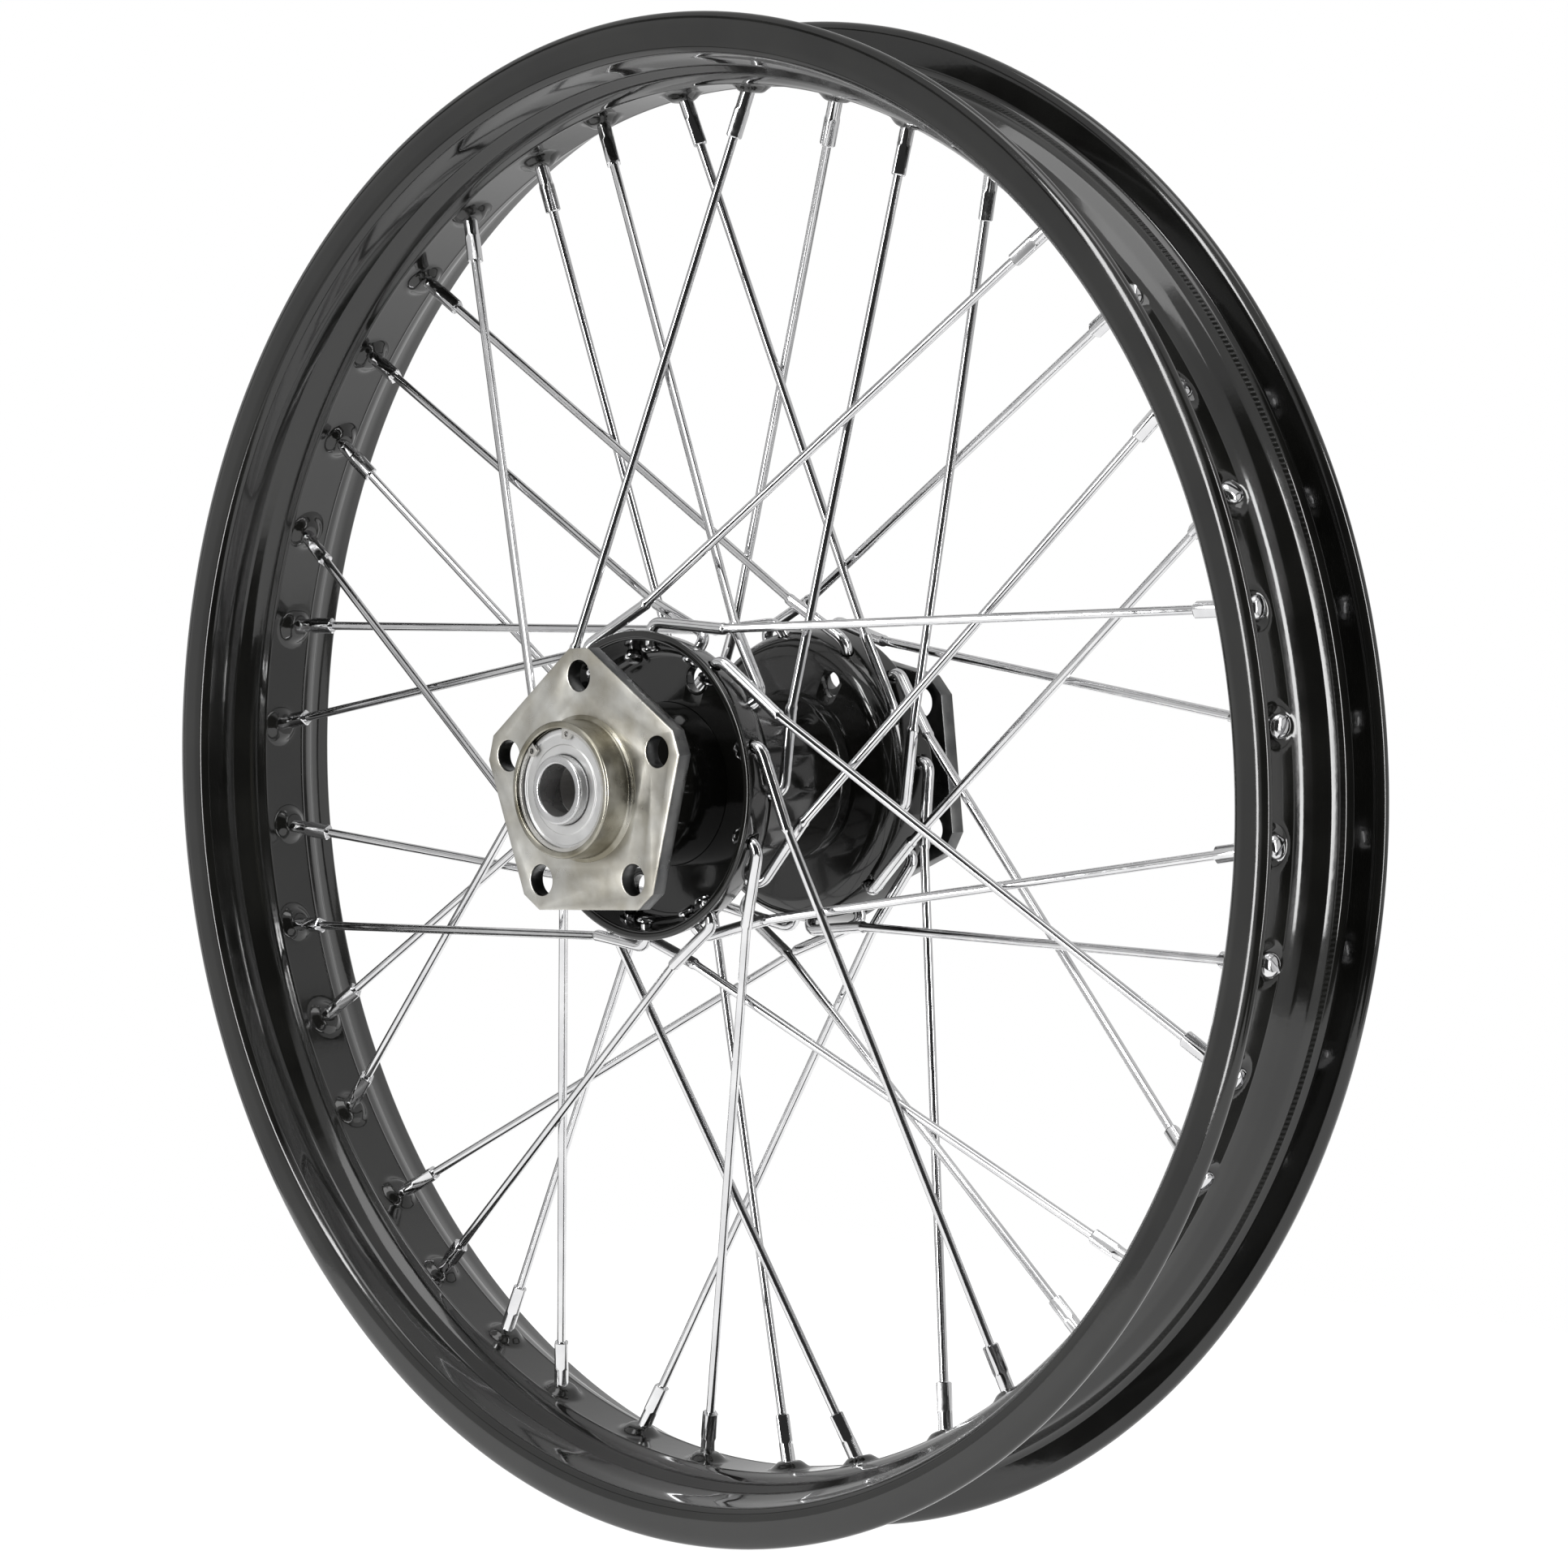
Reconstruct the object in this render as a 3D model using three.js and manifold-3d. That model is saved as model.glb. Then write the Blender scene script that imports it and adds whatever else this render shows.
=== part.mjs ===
// Spoked wheel: a drop-centre steel rim laced with forty spokes to a hub that turns on two
// tapered roller bearings. Millimetres, +Z up. The origin is the wheel centre, +Y is the axle
// axis. "left" is the -Y side and "right" the +Y side. Angles run from +X towards +Z.

import * as THREE from 'three';
import { mergeVertices } from 'three/addons/utils/BufferGeometryUtils.js';
import Module from 'manifold-3d';

const wasm = await Module();
wasm.setup();

// ---- driving dimensions -----------------------------------------------------------------

const GAP = 0.3;                   // clearance kept between pieces that touch

const RIM = {
  lipRadius: 284.6,                // outermost edge of both flanges
  halfWidth: 34.65,                // axle axis distance from the centre to a flange's outer face
  floorOuter: 261.8,               // tyre side of the well floor
  floorInner: 259.3,               // hub side of the well floor
  segments: 60,
};

const LACING = {
  spokesPerSet: 10,
  rimHoleOffset: 1.8,              // rim holes stand this far either side of the centre plane
  pivotRadius: 262,                // where a nipple's axis crosses the well floor
  leftPhase: 16.6,                 // angle of the first front-row hole of the left flange
  rightPhase: 7.6,                 // the same on the right flange, half a rim pitch back
  backRowShift: 18,                // the back row stands half-way between the front-row holes
  thickRadius: 2.2,
  thinRadius: 1.7,
  bendReach: 3.4,                  // length of the elbow's curve either side of its corner
  headRadius: 3.6,
  headFrom: 7.2,                   // the head's two faces, measured inwards from the flange hole
  headTo: 5.2,
  drill: [-7, 5],                  // the rim hole's reach along the nipple, from the well floor
  sides: 5,
};

// Each row: its flange hole, its elbow, the end of its thick portion, and the rim hole.
const FRONT_ROW = {
  holeRadius: 57.0, holeY: 44.0, tilt: 0, elbowLength: 3.4,
  swageRadius: 67.2, swageAngle: -28.4, swageY: 38.2, rimAngle: -73.3,
};
const BACK_ROW = {
  holeRadius: 54.4, holeY: 35.2, tilt: 28, elbowLength: 5.2,
  swageRadius: 67.5, swageAngle: 27.9, swageY: 30.2, rimAngle: 70.7,
};

const NIPPLE = {                   // screwed on the spoke's outer end, its head on the tyre side
  headRadius: 4.6, headLength: 2.6, headLift: 1.9, barrelRadius: 3.1, barrelLength: 23,
  holeClearance: 0.9,
};

const FLANGE = {                   // pressed spoke flange, open away from the wheel centre
  wallY: 30, thickness: 3.5, lipY: 49.5, lipRadius: 57.6,
  boreRadius: 30.6, holeRadius: 3.0, segments: 32,
  drill: [-5.4, 5],                // a spoke hole's reach, measured outwards along the shank
  windowRadius: 4.9, windowCircle: 42, leftWindow: 69.5, rightWindow: 58.3,
  windowInner: 28, windowOuter: 36,
};

const DISC_MOUNT = {               // five-sided brake disc flange with the bearing boss
  faceY: 77.5, thickness: 6.5, cornerRadius: 51.7, cornerHalfAngle: 5.6,
  holeCircle: 41.275, holeRadius: 5.9, leftPhase: 21.1, rightPhase: 42.5,
  bossRadius: 25.1, bossY: 89.5, spigotRadius: 26.1, spigotY: 60,
  bossFlare: 0.8, edgeBreak: 0.6, bury: 1, segments: 24,
};

const BEARING = {
  boreRadius: 22.62,               // 45.24 mm cup bore
  shoulderRadius: 19.5, shoulderY: 63.7, innerY: 63.3, coneWidth: 16.6,
  cupInset: 0.7, cupWidth: 12.1, ribHeight: 2.6,
  axleRadius: 9.525,               // 3/4 in axle
  rollers: 12, rollerRadius: 2.6, rollerGrowth: 1.13, rollerFrom: 2, rollerTo: 11.4,
  rollerPlay: 0.5, segments: 24,
};

const RACE = {                     // the roller cone's inner and outer race, small end inboard
  smallInner: 12.7, smallOuter: 17.9, largeInner: 14.7, largeOuter: 20.6,
};

const TUBE = {                     // runs inside both bells, with a fillet against each
  outerRadius: 31, innerRadius: 26.4, throughRadius: 30.2, filletRadius: 32.6, filletRise: 2.6,
};
const SEAL = { innerY: 81.2, outerY: 87.0, innerRadius: 13.1, wall: 1.5, recess: 3.4 };
const SNAP_RING = {                // its open end is between the two lug angles
  innerY: 87.4, outerY: 88.6, radius: 23.4, bandWidth: 2.3, lugDepth: 4.6,
  lugAngles: [138.9, 442.3], lugSpan: 13, eyeDepth: 2.6, eyeRadius: 0.9,
};
const COLLAR = { outerY: 91, outerRadius: 12.7 };
const SPACER = { innerRadius: 10, outerRadius: 12.7 };

// ---- materials --------------------------------------------------------------------------

function material(color, roughness, metalness) {
  return new THREE.MeshStandardMaterial({ color, roughness, metalness });
}

const blackPaint = material(0x0b0b0b, 0.18, 0.1);
const chrome = material(0xd9dadb, 0.12, 1);
const bareSteel = material(0xa9a69b, 0.38, 1);
const bearingSteel = material(0xb9babd, 0.25, 1);
const silverSteel = material(0xc4c5c7, 0.33, 1);

// ---- helpers ----------------------------------------------------------------------------

function solidOf(geometry) {
  const bare = geometry.clone();
  bare.deleteAttribute('normal');
  bare.deleteAttribute('uv');
  const merged = mergeVertices(bare);
  const vertProperties = new Float32Array(merged.attributes.position.array);
  const triVerts = new Uint32Array(merged.index.array);
  return new wasm.Manifold(new wasm.Mesh({ numProp: 3, vertProperties, triVerts }));
}

function geometryOf(solid) {
  const mesh = solid.getMesh();
  const geometry = new THREE.BufferGeometry();
  geometry.setAttribute('position', new THREE.BufferAttribute(mesh.vertProperties, 3));
  geometry.setIndex(new THREE.BufferAttribute(mesh.triVerts, 1));
  geometry.computeVertexNormals();
  return geometry;
}

// A ring about the axle axis from a closed [radius, y] outline.
function revolve(outline, segments) {
  const points = outline.map(([radius, y]) => new THREE.Vector2(radius, y));
  if (THREE.ShapeUtils.area(points) < 0) {
    points.reverse();
  }
  return new THREE.LatheGeometry([...points, points[0]], segments);
}

// A right-side outline [radius, distance from centre] turned onto the given side.
function onSide(outline, side) {
  return outline.map(([radius, y]) => [radius, side * y]);
}

function polar(radius, degrees, y) {
  const angle = THREE.MathUtils.degToRad(degrees);
  return new THREE.Vector3(radius * Math.cos(angle), y, radius * Math.sin(angle));
}

// A prism from one point to another with a regular cross-section.
function rod(start, end, radius, sides) {
  const length = start.distanceTo(end);
  const geometry = new THREE.CylinderGeometry(radius, radius, length, sides);
  const direction = end.clone().sub(start).normalize();
  const turn = new THREE.Quaternion().setFromUnitVectors(new THREE.Vector3(0, 1, 0), direction);
  geometry.applyQuaternion(turn);
  const middle = start.clone().add(end).multiplyScalar(0.5);
  geometry.translate(middle.x, middle.y, middle.z);
  return geometry;
}

// A curve that passes through its points in equal steps, so a sweep has one ring per point.
class StepCurve extends THREE.Curve {
  constructor(points) {
    super();
    this.points = points;
  }

  getPointAt(u) {
    const place = Math.min(u * (this.points.length - 1), this.points.length - 1.000001);
    const index = Math.floor(place);
    return this.points[index].clone().lerp(this.points[index + 1], place - index);
  }

  getTangentAt(u) {
    const last = this.points.length - 1;
    const index = Math.round(u * last);
    const before = this.points[Math.max(index - 1, 0)];
    const after = this.points[Math.min(index + 1, last)];
    return after.clone().sub(before).normalize();
  }
}

function sweep(points, radius, sides) {
  const section = new THREE.Shape();
  for (let i = 0; i < sides; i += 1) {
    const angle = (2 * Math.PI * i) / sides;
    const corner = [radius * Math.cos(angle), radius * Math.sin(angle)];
    if (i === 0) {
      section.moveTo(...corner);
    } else {
      section.lineTo(...corner);
    }
  }
  section.closePath();
  const extrudePath = new StepCurve(points);
  return new THREE.ExtrudeGeometry(section, { steps: points.length - 1, extrudePath });
}

const wheel = new THREE.Group();

function addMesh(name, geometry, surface) {
  const mesh = new THREE.Mesh(geometry, surface);
  mesh.name = name;
  wheel.add(mesh);
  return mesh;
}

// ---- spokes -----------------------------------------------------------------------------

// The points of one spoke whose flange hole is at angle 0, on side -1 (left) or +1 (right).
function spokePoints(row, side) {
  const hole = polar(row.holeRadius, 0, side * row.holeY);
  const tilt = THREE.MathUtils.degToRad(row.tilt);
  const outward = new THREE.Vector3(Math.cos(tilt), -side * Math.sin(tilt), 0);
  const swage = polar(row.swageRadius, row.swageAngle, side * row.swageY);
  const pivot = polar(LACING.pivotRadius, row.rimAngle, side * LACING.rimHoleOffset);
  return { hole, outward, swage, pivot, axis: pivot.clone().sub(swage).normalize() };
}

// The thin portion from the swage step to the rim, ending in the nipple and its head.
function outerPortion({ swage, pivot, axis }) {
  const reach = swage.distanceTo(pivot);
  const { headRadius, headLength, headLift, barrelRadius, barrelLength } = NIPPLE;
  const outline = [
    [0, -1],
    [LACING.thinRadius, -1],
    [LACING.thinRadius, reach - barrelLength],
    [barrelRadius, reach - barrelLength],
    [barrelRadius, reach + headLift],
    [headRadius, reach + headLift],
    [headRadius, reach + headLift + headLength],
    [0, reach + headLift + headLength],
  ];
  const points = outline.map(([radius, along]) => new THREE.Vector2(radius, along));
  const geometry = new THREE.LatheGeometry(points, LACING.sides);
  const turn = new THREE.Quaternion().setFromUnitVectors(new THREE.Vector3(0, 1, 0), axis);
  return geometry.applyQuaternion(turn).translate(swage.x, swage.y, swage.z);
}

// The thick portion: the head inside the flange, the shank, the elbow and the run to the swage.
function innerPortion(row, { hole, outward, swage }) {
  const { thickRadius, bendReach, headFrom, headTo, sides } = LACING;
  const along = (distance) => hole.clone().addScaledVector(outward, distance);
  const corner = along(row.elbowLength);
  const bendOut = corner.clone().addScaledVector(swage.clone().sub(corner).normalize(), bendReach);
  const bend = new THREE.QuadraticBezierCurve3(along(row.elbowLength - bendReach), corner, bendOut);
  const insideHead = along(-(headFrom + headTo) / 2);
  return sweep([insideHead, ...bend.getPoints(2), swage], thickRadius, sides);
}

function spokeGeometry(row, side) {
  const line = spokePoints(row, side);
  const along = (distance) => line.hole.clone().addScaledVector(line.outward, distance);
  const { headFrom, headTo, headRadius, sides } = LACING;
  const head = rod(along(-headFrom), along(-headTo), headRadius, sides);
  return geometryOf(solidOf(innerPortion(row, line))
    .add(solidOf(outerPortion(line)))
    .add(solidOf(head)));
}

// The four sets in the order left front, left back, right front, right back.
const SPOKE_SETS = [
  { row: FRONT_ROW, side: -1, phase: LACING.leftPhase },
  { row: BACK_ROW, side: -1, phase: LACING.leftPhase - LACING.backRowShift },
  { row: FRONT_ROW, side: 1, phase: LACING.rightPhase },
  { row: BACK_ROW, side: 1, phase: LACING.rightPhase + LACING.backRowShift },
];
const SPOKE_PITCH = 360 / LACING.spokesPerSet;

function spokeAngles({ phase }) {
  return Array.from({ length: LACING.spokesPerSet }, (_, i) => phase + SPOKE_PITCH * i);
}

function addSpokes() {
  SPOKE_SETS.forEach((set, setIndex) => {
    const geometry = spokeGeometry(set.row, set.side);
    spokeAngles(set).forEach((angle, i) => {
      const number = String(setIndex * LACING.spokesPerSet + i + 1).padStart(2, '0');
      const mesh = addMesh(`spoke_${number}`, geometry, chrome);
      mesh.rotation.y = -THREE.MathUtils.degToRad(angle);
    });
  });
}

// ---- rim --------------------------------------------------------------------------------

// Half of the rim's section, from the well floor's hub side round the lip to its tyre side.
const RIM_HALF_SECTION = [
  [RIM.floorInner, 9.6],
  [262.4, 17.3],
  [265.8, 20.4],
  [269.2, 32.6],
  [274.0, RIM.halfWidth],
  [281.0, RIM.halfWidth],
  [RIM.lipRadius, 32.0],
  [283.4, 28.8],
  [271.2, 27.4],
  [268.3, 19.6],
  [RIM.floorOuter, 9.2],
];

function addRim() {
  const outline = [...onSide(RIM_HALF_SECTION, 1), ...onSide([...RIM_HALF_SECTION].reverse(), -1)];
  let solid = solidOf(revolve(outline, RIM.segments));
  const holeRadius = NIPPLE.barrelRadius + NIPPLE.holeClearance;
  const [drillFrom, drillTo] = LACING.drill;
  for (const set of SPOKE_SETS) {
    const { pivot, axis } = spokePoints(set.row, set.side);
    const drill = rod(
      pivot.clone().addScaledVector(axis, drillFrom),
      pivot.clone().addScaledVector(axis, drillTo),
      holeRadius,
      6,
    );
    for (const angle of spokeAngles(set)) {
      const turned = drill.clone().rotateY(-THREE.MathUtils.degToRad(angle));
      solid = solid.subtract(solidOf(turned));
    }
  }
  addMesh('rim', geometryOf(solid), blackPaint);
}

// ---- hub shell --------------------------------------------------------------------------

function spokeFlangeOutline() {
  const { wallY, thickness, lipY, lipRadius, boreRadius } = FLANGE;
  return [
    [boreRadius, wallY],
    [48.4, wallY],
    [54.2, wallY + 4.2],
    [lipRadius, lipY],
    [lipRadius - thickness, lipY],
    [51.6, wallY + 7.4],
    [48.6, wallY + thickness],
    [boreRadius, wallY + thickness],
  ];
}

function addSpokeFlange(name, side, window) {
  let solid = solidOf(revolve(onSide(spokeFlangeOutline(), side), FLANGE.segments));
  const [drillFrom, drillTo] = FLANGE.drill;
  for (const set of SPOKE_SETS.filter((each) => each.side === side)) {
    const { hole, outward } = spokePoints(set.row, side);
    const drill = rod(
      hole.clone().addScaledVector(outward, drillFrom),
      hole.clone().addScaledVector(outward, drillTo),
      FLANGE.holeRadius,
      6,
    );
    for (const angle of spokeAngles(set)) {
      const turned = drill.clone().rotateY(-THREE.MathUtils.degToRad(angle));
      solid = solid.subtract(solidOf(turned));
    }
  }
  for (const angle of [window, window + 180]) {
    const inner = polar(FLANGE.windowCircle, angle, side * FLANGE.windowInner);
    const outer = polar(FLANGE.windowCircle, angle, side * FLANGE.windowOuter);
    solid = solid.subtract(solidOf(rod(inner, outer, FLANGE.windowRadius, 12)));
  }
  addMesh(name, geometryOf(solid), blackPaint);
}

function addHubBarrel() {
  const half = [
    [TUBE.outerRadius, FLANGE.wallY - TUBE.filletRise],
    [TUBE.filletRadius, FLANGE.wallY - GAP],
    [TUBE.throughRadius, FLANGE.wallY - GAP],
    [TUBE.throughRadius, DISC_MOUNT.faceY - DISC_MOUNT.thickness - GAP],
    [TUBE.innerRadius, DISC_MOUNT.faceY - DISC_MOUNT.thickness - GAP],
  ];
  const outline = [...onSide(half, 1), ...onSide([...half].reverse(), -1)];
  addMesh('hub_barrel', revolve(outline, DISC_MOUNT.segments), blackPaint);
}

// The five-sided plate with its corners cut square to each bolt hole's radius.
function discMountPlate(phase) {
  const { cornerRadius, cornerHalfAngle, holeCircle, holeRadius, thickness } = DISC_MOUNT;
  const outline = new THREE.Shape();
  for (let i = 0; i < 5; i += 1) {
    for (const half of [-cornerHalfAngle, cornerHalfAngle]) {
      const corner = polar(cornerRadius, phase + 72 * i + half, 0);
      if (i === 0 && half < 0) {
        outline.moveTo(corner.x, corner.z);
      } else {
        outline.lineTo(corner.x, corner.z);
      }
    }
    const centre = polar(holeCircle, phase + 72 * i, 0);
    const hole = new THREE.Path();
    hole.absarc(centre.x, centre.z, holeRadius, 0, 2 * Math.PI, true);
    outline.holes.push(hole);
  }
  outline.closePath();
  const bore = new THREE.Path();
  bore.absarc(0, 0, BEARING.boreRadius + DISC_MOUNT.bury, 0, 2 * Math.PI, true);
  outline.holes.push(bore);
  const options = { depth: thickness, bevelEnabled: false, curveSegments: 6 };
  const plate = new THREE.ExtrudeGeometry(outline, options);
  return plate.rotateX(Math.PI / 2);
}

function discMountSleeve() {
  const { spigotY, spigotRadius, bossRadius, bossY, faceY, thickness } = DISC_MOUNT;
  const { bossFlare, edgeBreak, bury } = DISC_MOUNT;
  const { boreRadius, shoulderRadius, shoulderY } = BEARING;
  const grooveInner = SNAP_RING.innerY - GAP;
  const grooveOuter = SNAP_RING.outerY + GAP;
  const grooveRadius = SNAP_RING.radius + GAP;
  return [
    [shoulderRadius, spigotY],
    [spigotRadius, spigotY],
    [spigotRadius, faceY - thickness + bury],
    [bossRadius + bossFlare, faceY + bury],
    [bossRadius, bossY - edgeBreak],
    [bossRadius - edgeBreak, bossY],
    [boreRadius, bossY],
    [boreRadius, grooveOuter],
    [grooveRadius, grooveOuter],
    [grooveRadius, grooveInner],
    [boreRadius, grooveInner],
    [boreRadius, shoulderY],
    [shoulderRadius, shoulderY],
  ];
}

function addDiscMount(name, side, phase) {
  const plate = discMountPlate(phase);
  plate.translate(0, side > 0 ? DISC_MOUNT.faceY : DISC_MOUNT.thickness - DISC_MOUNT.faceY, 0);
  const sleeve = revolve(onSide(discMountSleeve(), side), DISC_MOUNT.segments);
  addMesh(name, geometryOf(solidOf(plate).add(solidOf(sleeve))), bareSteel);
}

// ---- bearings, seals and axle sleeves ---------------------------------------------------

function addBearing(label, side) {
  const { innerY, coneWidth, cupWidth, boreRadius, axleRadius, segments } = BEARING;
  const cupInner = innerY + BEARING.cupInset;
  const rollerInner = innerY + BEARING.rollerFrom;
  const rollerOuter = innerY + BEARING.rollerTo;
  const ribRadius = RACE.largeInner + BEARING.ribHeight;
  const cup = [
    [RACE.smallOuter + GAP, cupInner],
    [boreRadius - GAP, cupInner],
    [boreRadius - GAP, cupInner + cupWidth],
    [RACE.largeOuter + GAP, cupInner + cupWidth],
  ];
  const cone = [
    [axleRadius, innerY],
    [RACE.smallInner, innerY],
    [RACE.smallInner, rollerInner - GAP],
    [RACE.smallInner - GAP, rollerInner - GAP],
    [RACE.largeInner - GAP, rollerOuter + GAP],
    [ribRadius, rollerOuter + GAP],
    [ribRadius, innerY + coneWidth],
    [axleRadius, innerY + coneWidth],
  ];
  addMesh(`${label}_bearing_cup`, revolve(onSide(cup, side), segments), bearingSteel);
  addMesh(`${label}_bearing_cone`, revolve(onSide(cone, side), segments), bearingSteel);
  addRollerCage(label, side, rollerInner, rollerOuter);
}

// The tapered rollers and the cage band that joins them, one piece. Every roller shrinks in
// step with its distance from the axle axis towards the small end.
function addRollerCage(label, side, rollerInner, rollerOuter) {
  const middle = (RACE.smallInner + RACE.smallOuter) / 2;
  const section = new THREE.Shape();
  const inside = new THREE.Path();
  for (let i = 0; i < BEARING.rollers; i += 1) {
    const turn = (360 * i) / BEARING.rollers;
    for (const around of [-67.5, -22.5, 22.5, 67.5]) {
      const onRoller = polar(BEARING.rollerRadius, around, 0);
      const outerPoint = new THREE.Vector2(middle + onRoller.x, onRoller.z);
      const innerPoint = new THREE.Vector2(middle - onRoller.x, onRoller.z);
      const centre = new THREE.Vector2();
      outerPoint.rotateAround(centre, THREE.MathUtils.degToRad(turn));
      innerPoint.rotateAround(centre, THREE.MathUtils.degToRad(turn));
      if (i === 0 && around < -60) {
        section.moveTo(outerPoint.x, outerPoint.y);
        inside.moveTo(innerPoint.x, innerPoint.y);
      } else {
        section.lineTo(outerPoint.x, outerPoint.y);
        inside.lineTo(innerPoint.x, innerPoint.y);
      }
    }
  }
  section.closePath();
  inside.closePath();
  section.holes.push(inside);
  const depth = rollerOuter - rollerInner - 2 * BEARING.rollerPlay;
  const geometry = new THREE.ExtrudeGeometry(section, { depth, bevelEnabled: false });
  const position = geometry.attributes.position;
  for (let i = 0; i < position.count; i += 1) {
    const scale = THREE.MathUtils.lerp(1, BEARING.rollerGrowth, position.getZ(i) / depth);
    position.setXY(i, position.getX(i) * scale, position.getY(i) * scale);
  }
  geometry.rotateX(side > 0 ? -Math.PI / 2 : Math.PI / 2);
  geometry.translate(0, side * (rollerInner + BEARING.rollerPlay), 0);
  addMesh(`${label}_roller_cage`, geometry, bearingSteel);
}

function addSeal(label, side) {
  const outer = BEARING.boreRadius - GAP;
  const outline = [
    [SEAL.innerRadius, SEAL.innerY + SEAL.recess],
    [outer - SEAL.wall, SEAL.innerY + SEAL.recess],
    [outer - SEAL.wall, SEAL.innerY],
    [outer, SEAL.innerY],
    [outer, SEAL.outerY],
    [SEAL.innerRadius, SEAL.outerY],
  ];
  addMesh(`${label}_grease_seal`, revolve(onSide(outline, side), BEARING.segments), silverSteel);
}

// An internal retaining ring, open at one place, with an eyed lug at each end.
function addSnapRing(label, side) {
  const { radius, bandWidth, lugDepth, lugAngles, lugSpan, innerY, outerY } = SNAP_RING;
  const { eyeDepth, eyeRadius } = SNAP_RING;
  const [first, last] = lugAngles;
  const start = first - lugSpan / 2;
  const end = last + lugSpan / 2;
  const rad = THREE.MathUtils.degToRad;
  const ring = new THREE.Shape();
  const lineTo = (reach, angle) => {
    ring.lineTo(reach * Math.cos(rad(angle)), reach * Math.sin(rad(angle)));
  };
  ring.absarc(0, 0, radius, rad(start), rad(end), false);
  lineTo(radius - lugDepth, end);
  lineTo(radius - lugDepth, end - lugSpan);
  ring.absarc(0, 0, radius - bandWidth, rad(end - lugSpan), rad(start + lugSpan), true);
  lineTo(radius - lugDepth, start + lugSpan);
  lineTo(radius - lugDepth, start);
  ring.closePath();
  for (const angle of lugAngles) {
    const reach = radius - eyeDepth;
    const eye = new THREE.Path();
    for (const corner of [0, 1, 2, 3, 4, 5]) {
      const x = reach * Math.cos(rad(angle)) + eyeRadius * Math.cos(rad(60 * corner));
      const y = reach * Math.sin(rad(angle)) + eyeRadius * Math.sin(rad(60 * corner));
      if (corner === 0) {
        eye.moveTo(x, y);
      } else {
        eye.lineTo(x, y);
      }
    }
    eye.closePath();
    ring.holes.push(eye);
  }
  const options = { depth: outerY - innerY, bevelEnabled: false, curveSegments: 9 };
  const geometry = new THREE.ExtrudeGeometry(ring, options);
  geometry.rotateX(Math.PI / 2);
  geometry.translate(0, side > 0 ? outerY : -innerY, 0);
  addMesh(`${label}_snap_ring`, geometry, silverSteel);
}

function addCollar(label, side) {
  const inner = BEARING.innerY + BEARING.coneWidth + GAP;
  const outline = [
    [BEARING.axleRadius, inner],
    [COLLAR.outerRadius, inner],
    [COLLAR.outerRadius, COLLAR.outerY],
    [BEARING.axleRadius, COLLAR.outerY],
  ];
  addMesh(`${label}_axle_collar`, revolve(onSide(outline, side), BEARING.segments), silverSteel);
}

function addAxleSpacer() {
  const half = BEARING.innerY - GAP;
  const outline = [
    [SPACER.innerRadius, -half],
    [SPACER.outerRadius, -half],
    [SPACER.outerRadius, half],
    [SPACER.innerRadius, half],
  ];
  addMesh('axle_spacer', revolve(outline, BEARING.segments), bearingSteel);
}

// ---- assembly ---------------------------------------------------------------------------

addRim();
addHubBarrel();
addSpokeFlange('left_spoke_flange', -1, FLANGE.leftWindow);
addSpokeFlange('right_spoke_flange', 1, FLANGE.rightWindow);
addDiscMount('left_disc_flange', -1, DISC_MOUNT.leftPhase);
addDiscMount('right_disc_flange', 1, DISC_MOUNT.rightPhase);
for (const [label, side] of [['left', -1], ['right', 1]]) {
  addBearing(label, side);
  addSeal(label, side);
  addSnapRing(label, side);
  addCollar(label, side);
}
addAxleSpacer();
addSpokes();

export default wheel;
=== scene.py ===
"""The looks of a laced wire wheel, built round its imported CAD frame.

Metres, +Z up, the axle along Y. "left" is the -Y side. Section outlines are written in
millimetres as (radius, distance from the centre plane, corner rounding).
"""

import math

import bmesh
import bpy
from mathutils import Matrix, Vector


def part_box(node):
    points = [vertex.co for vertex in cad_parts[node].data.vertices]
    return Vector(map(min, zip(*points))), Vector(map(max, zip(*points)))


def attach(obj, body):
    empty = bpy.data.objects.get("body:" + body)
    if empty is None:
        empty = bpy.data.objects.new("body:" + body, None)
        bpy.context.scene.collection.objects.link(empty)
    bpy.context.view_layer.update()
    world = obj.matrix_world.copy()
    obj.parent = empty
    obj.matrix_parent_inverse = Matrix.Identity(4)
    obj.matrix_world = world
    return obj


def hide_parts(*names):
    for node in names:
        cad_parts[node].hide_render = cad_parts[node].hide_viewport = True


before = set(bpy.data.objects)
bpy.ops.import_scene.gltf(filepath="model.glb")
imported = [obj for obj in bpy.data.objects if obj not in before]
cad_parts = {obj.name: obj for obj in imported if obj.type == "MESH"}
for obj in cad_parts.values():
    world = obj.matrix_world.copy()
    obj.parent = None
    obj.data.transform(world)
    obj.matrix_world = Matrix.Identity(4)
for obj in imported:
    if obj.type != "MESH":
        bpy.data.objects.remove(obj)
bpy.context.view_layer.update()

MM = 0.001
SIDES = {"left": -1, "right": 1}
WHEEL = "wheel"
CORE = "axle_core"

# ---- places read from the CAD frame ------------------------------------------------------

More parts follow.
